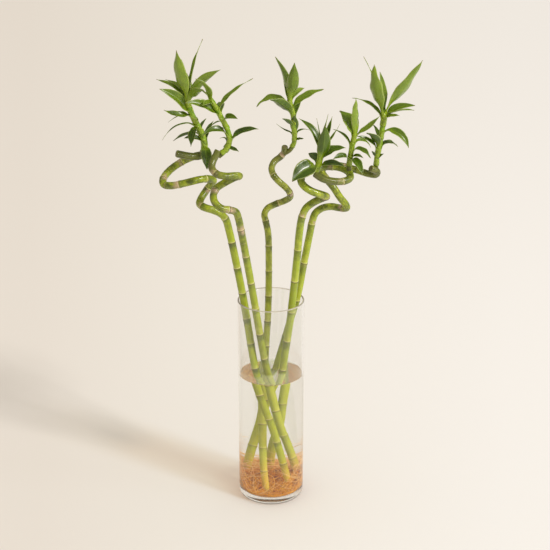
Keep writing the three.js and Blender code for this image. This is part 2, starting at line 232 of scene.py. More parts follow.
# %% [markdown]
# Camera
#
# The photo was taken a little above the plant with a short telephoto lens. Its place was worked out
# from the ellipses of the rim, of the water and of the base: 1.66 m in front of the vase, 0.97 m up,
# looking 20.9 degrees down, with an 85 mm lens on a 36 mm wide frame.

# %% The camera
CAMERA_PLACE = Vector((5.6, -1657, 968)) * MM
CAMERA_DOWN = math.radians(20.9)
LENS, FRAME_WIDTH, FARTHEST = 85.1, 36, 100

bpy.ops.object.camera_add(location=CAMERA_PLACE, rotation=(math.pi / 2 - CAMERA_DOWN, 0, 0))
camera = bpy.context.object
camera.data.lens = LENS
camera.data.sensor_width = FRAME_WIDTH
camera.data.clip_end = FARTHEST
bpy.context.scene.camera = camera
print("camera at", tuple(round(value, 3) for value in camera.location))

# %% [markdown]
# Paper sweep
#
# The plant stands on a seamless sheet of matt pale paper. Matt paper has a fine fibre that hardly
# shows and almost no gloss. Its colour is painted a shade darker and warmer towards the left, in a fan
# that opens to the back from a point 1.9 m in front of the vase: painted shade for the lamps' light
# falling off away from the right.

# %% The paper floor
FLOOR_SIZE, FLOOR_BACK = 30, 4
FAN_POINT, FAN_NEAREST, FAN_HALF_WIDTH = 1.9, 0.5, 0.18
# The paper's tints, darker and warmer to the left as painted shade.
PAPER_TINTS_WITH_PAINTED_FALLOFF = ((0, "#dad7d2"), (0.3, "#dfdeda"), (0.64, "#e3e3e1"), (1, "#e5e6e6"))

select_only()
bpy.ops.mesh.primitive_plane_add(size=FLOOR_SIZE, location=(0, FLOOR_BACK, 0))
floor = bpy.context.object
bpy.ops.object.transform_apply(location=True, rotation=True, scale=True)
floor.name = "floor"
paper, tree = new_material("matt_paper_sweep")
# Fibres about 1 mm apart, coarser than the real ones so that they show.
seen = look_at(tree, fibre=(900.0, 3.0))
# The fan paints shade into the paper's colour: darker and warmer to the left, where the lamps' light falls
# off.
ahead = add(tree, "Math", {0: seen["y"], 1: FAN_POINT}, operation="ADD")
ahead = add(tree, "Math", {0: ahead, 1: FAN_NEAREST}, operation="MAXIMUM")
fan = add(tree, "Math", {0: seen["x"], 1: ahead}, operation="DIVIDE")
spread = add(tree, "MapRange", {0: fan, 1: -FAN_HALF_WIDTH, 2: FAN_HALF_WIDTH})
tint = add(tree, "ValToRGB", {0: spread}, PAPER_TINTS_WITH_PAINTED_FALLOFF)
end_with(tree, {"Base Color": tint, "Roughness": 0.9, "Specular IOR Level": 0.2},
         bump=(seen["fibre"], 0.04, 0.2))
floor.data.materials.append(paper)
print("paper floor", FLOOR_SIZE, "m wide")

# %% [markdown]
# Light
#
# Most of the light is the warm room, and one soft lamp high on the right in front throws the pale
# shadow to the left. A sun lamp with a wide disc gives such an even beam over the whole sweep, and a
# large panel on the right lifts that side. The room shows less in glossy skins than it lights them,
# as the dark parts of a real studio would see to.

# %% Room light and lamps
ROOM_LIGHT, ROOM_GLOSS = 0.84, 0.26
SUN_FROM, SUN_HEIGHT, SUN_WIDTH, SUN_STRENGTH = -35, 36, 9, 2.05
PANEL_PLACE, PANEL_AIM = Vector((2.4, -0.9, 1.7)), Vector((0, 0, 0.3))
PANEL_SIZE, PANEL_POWER = (1.4, 1.8), 14


def towards(compass, lean=0):
    """The direction at a compass angle, from the right round to the back, and this far above level."""
    compass, lean = math.radians(compass), math.radians(lean)
    return Vector((math.cos(compass) * math.cos(lean), math.sin(compass) * math.cos(lean), math.sin(lean)))


room = bpy.data.worlds.new("warm_room")
bpy.context.scene.world = room
room.use_nodes = True
background = room.node_tree.nodes["Background"]
background.inputs["Color"].default_value = linear("#f2e8dc")
gloss = add(room.node_tree, "LightPath").outputs["Is Glossy Ray"]
strength = add(room.node_tree, "MapRange", {0: gloss, 3: ROOM_LIGHT, 4: ROOM_GLOSS})
room.node_tree.links.new(strength.outputs[0], background.inputs["Strength"])

sun_way = towards(SUN_FROM, SUN_HEIGHT)
bpy.ops.object.light_add(type="SUN", location=sun_way * 3)
sun = bpy.context.object
sun.rotation_euler = sun_way.to_track_quat("Z", "Y").to_euler()
sun.data.energy = SUN_STRENGTH
sun.data.angle = math.radians(SUN_WIDTH)
sun.data.color = linear("#fffaf4")[:3]

bpy.ops.object.light_add(type="AREA", location=PANEL_PLACE)
panel = bpy.context.object
panel.rotation_euler = (PANEL_PLACE - PANEL_AIM).to_track_quat("Z", "Y").to_euler()
panel.data.shape = "RECTANGLE"
panel.data.size, panel.data.size_y = PANEL_SIZE
panel.data.energy = PANEL_POWER
print("lamps:", sun.name, panel.name)

# %% [markdown]
# A smooth line through a few points
#
# A cane or a stem follows a list of places. The line between them is a spline that passes
# through every place. It slows down where the places are close, so it never loops or cuts a corner.

# %% Routes
class Route:
    """A smooth line through a few places in millimetres, measured along its length."""

    def __init__(self, corners, per_span=20):
        corners = [Vector(corner) for corner in corners]
        corners = [corners[0] * 2 - corners[1], *corners, corners[-1] * 2 - corners[-2]]
        self.points = [corners[1]]
        for before, start, end, after in zip(corners, corners[1:], corners[2:], corners[3:]):
            for step in range(1, per_span + 1):
                self.points.append(self.between(before, start, end, after, step / per_span))
        self.miles = [0.0]
        for a, b in zip(self.points, self.points[1:]):
            self.miles.append(self.miles[-1] + (b - a).length)
        self.length = self.miles[-1]

    @staticmethod
    def between(before, start, end, after, t):
        """The point at t from start to end."""
        d0, d1, d2 = ((b - a).length ** 0.5 for a, b in ((before, start), (start, end), (end, after)))
        leave = ((start - before) / d0 - (end - before) / (d0 + d1) + (end - start) / d1) * d1
        arrive = ((end - start) / d1 - (after - start) / (d1 + d2) + (after - end) / d2) * d1
        return (start * (2 * t**3 - 3 * t**2 + 1) + leave * (t**3 - 2 * t**2 + t)
                + end * (3 * t**2 - 2 * t**3) + arrive * (t**3 - t**2))

    def place(self, distance):
        """The point this far along."""
        distance = min(max(distance, 0.0), self.length)
        high = min(bisect.bisect_right(self.miles, distance), len(self.miles) - 1)
        low = high - 1
        share = (distance - self.miles[low]) / max(self.miles[high] - self.miles[low], 1e-9)
        return self.points[low].lerp(self.points[high], share)

    def heading(self, distance):
        """The direction of travel this far along."""
        return (self.place(distance + 0.5) - self.place(distance - 0.5)).normalized()


print("a quarter turn of 10 mm radius measures",
      round(Route([(10 * math.cos(a), 10 * math.sin(a), 0) for a in (0, 0.52, 1.05, 1.57)]).length, 1), "mm")

# %% [markdown]
# Glass vase
#
# The real vase is blown soda-lime glass: a plain cylinder with a thick base, a rounded heel and a rim
# melted round in a flame. It is modelled as a glassblower's tool would leave it, from a solid
# cylinder whose top is inset by the wall's thickness and pushed down to the floor of the hollow.
# The edges are then bevelled, because it is the rounded edges that catch the light. The underside is
# pushed in a little inside a narrow foot ring, and the film of air there acts as a mirror.

# %% Sizes of the vase and tests for its faces and edges
VASE_RADIUS, VASE_HEIGHT, VASE_WALL, VASE_FLOOR = 46.0, 300.0, 2.4, 12.0
INNER = VASE_RADIUS - VASE_WALL
HEEL, INNER_CORNER, RIM_ROUND = 8.0, 5.0, 1.15
FOOT_RING, PUNT, CENTRE_INSET = 3.0, 0.9, 1.5
ROUND_SIDES = 128
ROUNDED_EDGES = ((VASE_RADIUS, 0, HEEL, 9), (INNER, VASE_FLOOR, INNER_CORNER, 6),
                 (VASE_RADIUS, VASE_HEIGHT, RIM_ROUND, 4), (INNER, VASE_HEIGHT, RIM_ROUND, 4))


def near(value, target, slack=0.05):
    """True where a length in metres is this many millimetres."""
    return abs(value / MM - target) < slack


def on_ring(radius, height):
    """A test for points on a ring round the axis."""
    return lambda p: near(math.hypot(p.x, p.y), radius, 0.2) and near(p.z, height)


def on_axis(height):
    """A test for the middle of a level disc at this height."""
    return lambda p: near(p.z, height) and math.hypot(p.x, p.y) < MM


print("the wall leaves", 2 * INNER, "mm inside")


# %% Model the vase
def model_vase():
    """A cylinder, hollowed from the top, with every edge rounded."""
    vase = cylinder(VASE_RADIUS, 0, VASE_HEIGHT, ROUND_SIDES)
    pick(vase, "FACE", on_axis(VASE_HEIGHT))
    bpy.ops.mesh.inset(thickness=VASE_WALL * MM)
    drop = (0, 0, (VASE_FLOOR - VASE_HEIGHT) * MM)
    bpy.ops.mesh.extrude_region_move(TRANSFORM_OT_translate={"value": drop})
    for radius, height, offset, segments in ROUNDED_EDGES:
        pick(vase, "EDGE", on_ring(radius, height))
        bpy.ops.mesh.bevel(offset=offset * MM, segments=segments, affect="EDGES")
    pick(vase, "FACE", on_axis(0))
    bpy.ops.mesh.inset(thickness=FOOT_RING * MM)
    bpy.ops.mesh.inset(thickness=2 * PUNT * MM)
    bpy.ops.transform.translate(value=(0, 0, PUNT * MM))
    for height in (PUNT, VASE_FLOOR):
        pick(vase, "FACE", on_axis(height))
        bpy.ops.mesh.inset(thickness=CENTRE_INSET * MM)
    face_outwards()
    smooth_bevels(vase, sharpest=40)
    for face in vase.data.polygons:
        if face.center.z > (VASE_HEIGHT - 1) * MM:
            face.material_index = 1
    return vase


vase = model_vase()
print("the vase has", len(vase.data.vertices), "corners")

# %% [markdown]
# Soda-lime glass and water
#
# Clear glass bends light with an index of 1.5, and water with 1.333. Rays that only ask whether a
# lamp can be seen pass straight through, as bright light really does through a thin clear wall, so
# that the canes and roots inside stay lit. On the way each wall takes a little of the light, blue most
# of all, which leaves a pale warm shadow. The rim was cut and melted smooth, and it is a little milky
# and pale: partly a light frosting, and partly painted light for the bright line that a clear rim
# catches. The top of the water is a little less clear than its sides and pale grey-green: partly dust
# and traces of sap on still water, and partly painted light for the pale floor that the surface shows.

# %% Glass and water materials
def clear_material(name, tint, index, shadow_tint, clearness=1.0):
    """A clear refracting surface that lets light from lamps and room reach what is behind it."""
    material, tree = new_material(name)
    body = add(tree, "BsdfPrincipled",
               {"Base Color": tint, "Roughness": 0.0, "IOR": index, "Transmission Weight": clearness})
    passing = add(tree, "BsdfTransparent", {"Color": shadow_tint})
    paths = add(tree, "LightPath").outputs
    lighting = add(tree, "Math", {0: paths["Is Shadow Ray"], 1: paths["Is Diffuse Ray"]}, operation="MAXIMUM")
    both = add(tree, "MixShader", {0: lighting, 1: body, 2: passing})
    add(tree, "OutputMaterial", {"Surface": both})
    return material


soda_lime_glass = clear_material("soda_lime_glass_fire_polished", "#f9f9f7", 1.5, "#f9f7f3")
# The rim is partly frosted and partly painted light: a pale milky part stands in for the bright line a clear
# rim catches.
frosted_rim_with_painted_light = clear_material("soda_lime_glass_cut_rim_with_painted_light", "#d9d3c8", 1.5, "#fefefd", 0.5)
still_water = clear_material("still_water_with_root_tint", "#ffffff", 1.333, "#f8f2ea")
# The water's top is partly dusty and partly painted light: a pale grey-green part stands in for the floor
# that the surface shows.
water_top_dust_and_painted_light = clear_material("still_water_top_dust_and_painted_light", "#ecf4ee", 1.333, "#f8f2ea", 0.76)
finish_piece(vase, "vase_glass", "clear_glass", [soda_lime_glass, frosted_rim_with_painted_light], "vase")

# %% [markdown]
# Water
#
# Water wets the glass and creeps up it in a curved edge a millimetre or two high, which shows as the
# fine dark line round the surface. The body of water is a cylinder that reaches a hair into the
# glass, so that no film of air is left between them to shine like a mirror. Its top is inset and sunk
# four times, a little less each time, for the curved edge.

# %% Model the water
WATER_LEVEL, MENISCUS, WETTING = 189.0, 1.6, 0.12
MENISCUS_STEPS = ((0.5, 0.75), (0.7, 0.5), (1.0, 0.28), (1.4, 0.07))


def model_water():
    """A cylinder with a rounded foot and a raised, curved edge."""
    foot, radius = VASE_FLOOR - WETTING, INNER + WETTING
    water = cylinder(radius, foot, WATER_LEVEL + MENISCUS, ROUND_SIDES)
    for inset, sink in MENISCUS_STEPS:
        pick(water, "FACE", lambda p: math.hypot(p.x, p.y) < MM and p.z > WATER_LEVEL / 2 * MM)
        bpy.ops.mesh.inset(thickness=inset * MM)
        bpy.ops.transform.translate(value=(0, 0, -sink * MM))
    pick(water, "EDGE", on_ring(radius, foot))
    bpy.ops.mesh.bevel(offset=INNER_CORNER * MM, segments=6, affect="EDGES")
    face_outwards()
    smooth_bevels(water, sharpest=50)
    for face in water.data.polygons:
        if face.normal.z > 0.5:
            face.material_index = 1
    return water


finish_piece(model_water(), "water_body", "water", [still_water, water_top_dust_and_painted_light], "water")

# %% [markdown]
# Canes
#
# Each cane was grown in a spiral by turning it against the light. It stands on the glass floor,
# rises in a straight leg and winds above the rim. The table gives each cane's radius at the foot, at
# the top of the leg and at the cut, and then the places that it passes, all in millimetres.

# %% The canes' radii and routes
CANES = {
    "cane_1": ((4, 5.15, 4.8), [
        (20, -5, 13.4), (15.4, -9, 44), (9.5, -13, 77), (0.5, -16.5, 119), (-8.8, -15.5, 150),
        (-16.3, -13, 178), (-23, -10, 207), (-35, -8, 288), (-48.5, -10, 366), (-56, -11, 404),
        (-60, -14, 420), (-67, -19, 430), (-77, -23, 436), (-87, -22, 439), (-94, -14, 441), (-93, -3, 445),
        (-87, 5, 453), (-80, 4, 463), (-76, -4, 471), (-81, -14, 476), (-93, -24, 478), (-112, -30, 475),
        (-129, -28, 471), (-140, -20, 470), (-142, -8, 474), (-134, 6, 482), (-118, 12, 492),
        (-101, 10, 500), (-91, 2, 504), (-94, -8, 505), (-105, -15, 507), (-123, -20, 512),
    ]),
    "cane_2": ((3.9, 5, 4.7), [
        (26, 14, 13.4), (22.5, 8, 46), (16.5, 1, 82), (9.2, -2.5, 113), (2.5, -3.5, 150), (-4, -5.5, 189),
        (-9, -11, 215), (-21, -26, 298), (-32, -39, 372), (-39, -46, 416), (-42, -50, 433), (-45, -54, 443),
        (-53, -60, 448), (-63, -63, 451), (-71, -60, 457), (-74, -52, 464), (-70, -43, 472),
        (-59, -37, 478), (-47, -39, 485), (-40, -48, 490), (-46, -57, 493), (-58, -62, 494),
        (-69, -62, 497), (-75, -56, 503), (-74, -50, 510), (-70, -46, 517), (-67, -44, 523),
    ]),
    "cane_3": ((4.1, 4.8, 4.4), [
        (-5.5, -20, 13.6), (-8.2, -14.5, 46), (-9, -7.5, 84), (-8.9, -1.5, 118), (-8, 5.5, 148),
        (-8.2, 12.5, 175), (-8, 20.5, 202), (-4, 34, 272), (-3, 44, 340), (-4, 50, 378), (-7, 52, 394),
        (-9, 55, 404), (-5, 60, 411), (6, 64, 416), (18, 63, 421), (26, 57, 428), (26, 49, 437),
        (20, 43, 447), (10, 40, 457), (3, 44, 465), (1, 52, 472), (5, 59, 479), (13, 61, 485),
        (18, 59, 492), (19, 56, 501),
    ]),
    "cane_4": ((3.4, 5.2, 4.7), [
        (-1, 27, 13.4), (-0.8, 22, 48), (2, 16, 80), (8, 10, 112), (10.8, 5, 142), (14.3, 1, 172),
        (18, -1, 206), (28, -19, 293), (35, -34, 373), (38, -41, 414), (41, -43, 433), (46, -41, 444),
        (56, -37, 451), (67, -39, 457), (72, -47, 462), (65, -54, 467), (54, -58, 472), (44, -56, 478),
        (39, -49, 484), (43, -41, 491), (56, -35, 496), (74, -32, 498), (91, -35, 497), (101, -43, 493),
        (102, -53, 489), (94, -61, 487), (80, -65, 488), (66, -66, 492), (56, -63, 498),
    ]),
    "cane_5": ((3.5, 5.1, 4.6), [
        (-26.5, 11, 13.2), (-22, 13.5, 37), (-16.5, 15.5, 72), (-10, 17.5, 106), (-4, 18.5, 147),
        (2.7, 16, 174), (8, 14, 193), (25, 13, 255), (37, 8, 303), (45, 6, 350), (53, 4, 396), (56, 4, 412),
        (60, 6, 422), (69, 9, 428), (81, 10, 430), (93, 7, 429), (101, 0, 431), (100, -7, 438),
        (92, -10, 449), (83, -11, 463), (74, -8, 474), (68, -1, 481), (71, 8, 485), (84, 13, 487),
        (100, 15, 484), (116, 12, 480), (130, 6, 477), (139, -1, 478), (140, -7, 484), (131, -12, 490),
    ]),
}

print("lengths in mm:", {name: round(Route(route).length) for name, (_, route) in CANES.items()})

# %% The canes' joints and their swelling
# From the foot to the first joint, and from each joint to the next, in mm.
JOINTS = {"cane_1": (5.5, 37.6), "cane_2": (45, 41), "cane_3": (32, 35.8), "cane_4": (37, 49),
          "cane_5": (62, 57)}
LAST_JOINT = 14.0
LEG_SHARE = 0.3


def joint_places(name, length):
    """Distances of a cane's joints from its foot. None stands close to the cut top."""
    first, spacing = JOINTS[name]
    return [first + spacing * j for j in range(math.ceil((length - LAST_JOINT - first) / spacing))]


def swelling(gap):
    """How much thicker a cane is this far above (or, if negative, below) a joint."""
    collar = 0.055 * math.exp(-((gap + 0.8) / 2.2) ** 2)
    scar = 0.035 * math.exp(-(gap / 0.55) ** 2)
    waist = -0.03 * math.exp(-((gap - 3.2) / 2.4) ** 2)
    return collar + scar + waist


def cane_radius(radii, share):
    """Radius of a cane: it thickens up its leg and thins again over the coil."""
    foot, leg, top = radii
    if share < LEG_SHARE:
        return foot + (leg - foot) * share / LEG_SHARE
    return leg + (top - leg) * (share - LEG_SHARE) / (1 - LEG_SHARE)


print("joints on each cane:",
      {name: len(joint_places(name, Route(route).length)) for name, (_, route) in CANES.items()})

# %% [markdown]
# Skin from a thick line
#
# A curve with a thickness at every point gives the shape of a cane in one go: the thickness swells at
# each joint and is drawn in just above it. The curve is then made a mesh, its ends are closed, and
# the cut top is sunk as dried pith is. Each ring of the mesh keeps readings for the skin's colour.

# %% Turn thick lines into a mesh
def tubes(name, lines, level, caps=False):
    """A mesh of tubes in whole rings, one for each list of (place in mm, radius in mm) stations."""
    curve = bpy.data.curves.new(name, "CURVE")
    curve.dimensions = "3D"
    curve.bevel_depth = MM
    curve.bevel_resolution = level
    curve.use_fill_caps = caps
    for stations in lines:
        spline = curve.splines.new("POLY")
        spline.points.add(len(stations) - 1)
        for point, (place, radius) in zip(spline.points, stations):
            point.co, point.radius = (*(place * MM), 1), radius
    piece = bpy.data.objects.new(name, curve)
    bpy.context.scene.collection.objects.link(piece)
    select_only(piece)
    bpy.ops.object.convert(target="MESH")
    return bpy.context.object


def write_reading(piece, name, values):
    """Writes a reading for a material, with the piece's corners shared out evenly among the values."""
    each = len(piece.data.vertices) // len(values)
    attribute = piece.data.attributes.new(name, "FLOAT", "POINT")
    attribute.data.foreach_set("value", [value for value in values for _ in range(each)])


def close_ends(tube, lip, sink):
    """Closes both open ends, with a lip and a sunken face."""
    bpy.ops.object.mode_set(mode="EDIT")
    bpy.ops.mesh.select_mode(type="EDGE")
    bpy.ops.mesh.select_all(action="DESELECT")
    bpy.ops.mesh.select_non_manifold()
    bpy.ops.mesh.fill_holes(sides=0)
    face_outwards()
    for face in tube.data.polygons:
        face.select = len(face.vertices) > 4
    bpy.ops.object.mode_set(mode="EDIT")
    bpy.ops.mesh.select_mode(type="FACE")
    bpy.ops.mesh.inset(thickness=lip * MM, depth=-sink * MM, use_individual=True)
    bpy.ops.mesh.inset(thickness=lip * MM, depth=0, use_individual=True)
    bpy.ops.object.mode_set(mode="OBJECT")
    bpy.ops.object.shade_smooth()


# %% Model one cane
CANE_STEP, CANE_SIDES_LEVEL = 1.5, 4
CUT_ROUND, CUT_ROUND_LENGTH = 0.12, 1.6


def model_cane(name):
    """One cane. Each ring knows how far off a joint is, and how far up its internode and the cane it is."""
    radii, corners = CANES[name]
    route = Route(corners)
    joints = joint_places(name, route.length)
    draw = random.Random(name)
    moods = [draw.random() for _ in range(len(joints) + 1)]
    count = round(route.length / CANE_STEP)
    stations, rings = [], []
    for i in range(count + 1):
        distance = route.length * i / count
        share = distance / route.length
        gap = min((distance - joint for joint in joints), key=abs)
        internode = (distance - joints[0]) / JOINTS[name][1] + 1
        rings.append((gap, share, internode % 1, moods[max(min(math.floor(internode), len(joints)), 0)]))
        end = min(distance, route.length - distance)
        rounding = 1 - CUT_ROUND * (1 - min(end / CUT_ROUND_LENGTH, 1)) ** 2
        stations.append((route.place(distance), cane_radius(radii, share) * (1 + swelling(gap)) * rounding))
    tube = tubes(name + "_skin", [stations], CANE_SIDES_LEVEL)
    for reading, values in zip(("joint_gap", "share", "phase", "tone"), zip(*rings)):
        write_reading(tube, reading, values)
    close_ends(tube, lip=0.9, sink=0.5)
    for face in tube.data.polygons:
        if len(face.vertices) > 4:
            face.material_index = 2
        elif face.center.z < WATER_LEVEL * MM:
            face.material_index = 1
    return tube


print("a cane has a ring every", CANE_STEP, "mm")

# %% [markdown]
# Cane skin
#
# The skin is living plant cuticle, a thin clear wax over green tissue, so it has a soft gloss over a
# colour that changes along every internode: pale yellow-green just above a joint and deep green just
# below the next, so the two meet sharply at the joint. Some internodes end in a grey-green patch. The
# joint itself is a thin cream collar over a brown line. Old coils are blotched, pinkish-tan at some
# joints, and grey-brown at the very top. Under water the skin is painted a lighter yellow: partly the
# real yellowing of a drowned cane, and partly painted light for the light that the round water
# gathers onto it. It is amber at the foot, and it hardly shines under water, because water bends light
# almost as much as wax does.

# %% The patterns and layers of a cane's skin
# Clouds are about 18 mm across, flecks 4 mm and islands 8 mm, and a noise counts them per metre.
SKIN_PATTERNS = {"clouds": (55.0, 4.0, 0.6), "flecks": (260.0, 4.0, 0.6), "islands": (120.0, 6.0, 0.6)}
# The fine grain is stretched on the skin's own map: this many cells along it, round it and through it.
GRAIN_CELLS = (26.0, 9.0, 1.0)
# Heights are in metres above the table. The joint gap and the nearness are in mm from a joint.
AGED = ("share", 0.5, 0.7)
COLLAR = (("joint_gap", -0.4, 0.1), ("joint_gap", 1.5, 0.9))
SCAR = (("joint_gap", -1.3, -0.9), ("joint_gap", 0.1, -0.3))
INTERNODE_LAYERS = (
    ("#86912a", ("tone", 0.2, 0.9, 0, 0.38)),
    ("#4f5c26", ("phase", 0.68, 0.9), ("tone", 0.5, 0.8), ("clouds", 0.35, 0.55, 0.15, 0.75)),
    ("#4c581c", AGED, ("islands", 0.42, 0.62, 0.1, 0.85)),
    ("#b3a873", AGED, ("flecks", 0.6, 0.72, 0, 0.5)),
    ("#59562f", ("share", 0.91, 0.96), ("islands", 0.35, 0.6, 0.9, 0.5)),
    ("#5f7a1c", ("grain", 0.35, 0.65, 0, 0.16)),
)
FOOT_LAYERS = (("#e6c43c", ("height", 0.07, 0.034, 0, 0.8)), ("#6a4d1c", ("height", 0.021, 0.014, 0, 0.7)))
JOINT_LAYERS = (
    ("#cfb097", AGED, ("nearness", 9.0, 2.5, 0, 0.8), ("tone", 0.35, 0.55), ("islands", 0.42, 0.56)),
    ("#dcd69a", *COLLAR, ("flecks", 0.3, 0.6, 0.9, 0.3)),
    ("#5f4c20", *SCAR, ("tone", 0.1, 0.7, 0.3, 0.85)),
)
print("a cane's skin has", len(INTERNODE_LAYERS + FOOT_LAYERS + JOINT_LAYERS) + 1, "layers")


# %% Cane skin and cut ends
def cane_skin_material(name, pale, green, deep, yellowing, specular, coat):
    """Waxy cane skin. The colours are those of the bottom, the middle and the top of an internode."""
    material, tree = new_material(name)
    seen = look_at(tree, "joint_gap", "phase", "tone", "share", **SKIN_PATTERNS)
    seen["nearness"] = add(tree, "Math", {0: seen["joint_gap"]}, operation="ABSOLUTE")
    stretched = add(tree, "Mapping", {"Vector": add(tree, "TexCoord").outputs["UV"], "Scale": GRAIN_CELLS})
    seen["grain"] = add(tree, "TexNoise", {"Vector": stretched, "Scale": 1.0, "Detail": 2.0})
    shift = add(tree, "MapRange", {0: seen["clouds"], 1: 0.3, 2: 0.7, 3: -0.24, 4: 0.24})
    level = add(tree, "Math", {0: seen["phase"], 1: shift}, operation="ADD")
    skin = add(tree, "ValToRGB", {0: level}, ((0.0, pale), (0.25, green), (0.74, green), (1.0, deep)))
    # Under water the skin is painted a lighter yellow: partly real yellowing, partly painted light for the
    # light the water gathers onto it.
    wet_yellowing_and_painted_light = ("#cfdb58", ("height", 0.188, 0.184, 0, yellowing + 0.1))
    skin = paint(tree, skin, (*INTERNODE_LAYERS, wet_yellowing_and_painted_light, *FOOT_LAYERS, *JOINT_LAYERS), seen)
    relief = add(tree, "Math", {0: seen["grain"], 1: 0.5, 2: agreement(tree, COLLAR, seen)},
                 operation="MULTIPLY_ADD")
    dullness = add(tree, "MapRange", {0: seen["islands"], 1: 0.3, 2: 0.7, 3: 0.34, 4: 0.5})
    end_with(tree, {"Base Color": skin, "Roughness": dullness, "IOR": 1.45, "Specular IOR Level": specular,
                    "Subsurface Weight": 0.12, "Subsurface Radius": (0.9, 1.2, 0.3), "Subsurface Scale": MM,
                    "Coat Weight": coat, "Coat Roughness": 0.16},
             bump=(relief, 0.35, 0.3), lamp_tint=None if coat else "#faf6f0")
    return material


def cut_end_material():
    """A dried cut: pale cork with dark pores, about 1 mm apart."""
    material, tree = new_material("dried_cut_pith")
    pores = look_at(tree, pores=(900.0, 3.0))["pores"]
    colour = add(tree, "ValToRGB", {0: pores}, ((0.3, "#3b3626"), (0.55, "#77684a"), (0.75, "#9a8a68")))
    end_with(tree, {"Base Color": colour, "Roughness": 0.8}, bump=(pores, 0.6, 0.4))
    return material


# %% Make the five canes
# Colours at the bottom, middle and top of an internode, and how strongly the skin is painted a lighter yellow
# under water, partly real yellowing and partly painted light.
CANE_COLOURS = {
    "cane_1": ("#c2cb52", "#abba20", "#76861a", 0.12),
    "cane_2": ("#bcc24e", "#a3b028", "#74801e", 0.42),
    "cane_3": ("#cacc68", "#b2ba3e", "#7c8428", 0.42),
    "cane_4": ("#c0c844", "#a8b922", "#7e8c1c", 0.42),
    "cane_5": ("#c4cb42", "#aebc1e", "#82901c", 0.35),
}
# The specular level and the coat of wax, in air and under water.
DRY_GLOSS, DROWNED_GLOSS = (0.2, 1.0), (0.04, 0.0)

cut_end = cut_end_material()
for name, colours in CANE_COLOURS.items():
    dry = cane_skin_material(name + "_waxy_living_skin", *colours, *DRY_GLOSS)
    drowned = cane_skin_material(name + "_skin_under_water", *colours, *DROWNED_GLOSS)
    finish_piece(model_cane(name), name + "_skin", "cane_green", [dry, drowned, cut_end], name)

# %% [markdown]
# Shoots
#
# A shoot is a stack of leaves, each wrapped round the stem by its own sheath before it bends away as
# a blade. A leaf is a flat grid, like a strip cut from paper, whose rows are then laid along a line
# that runs up the stem and out into the air. Each row is rolled round the stem at the sheath and
# opens to a shallow trough in the blade. Solidify gives the sheet its thickness.

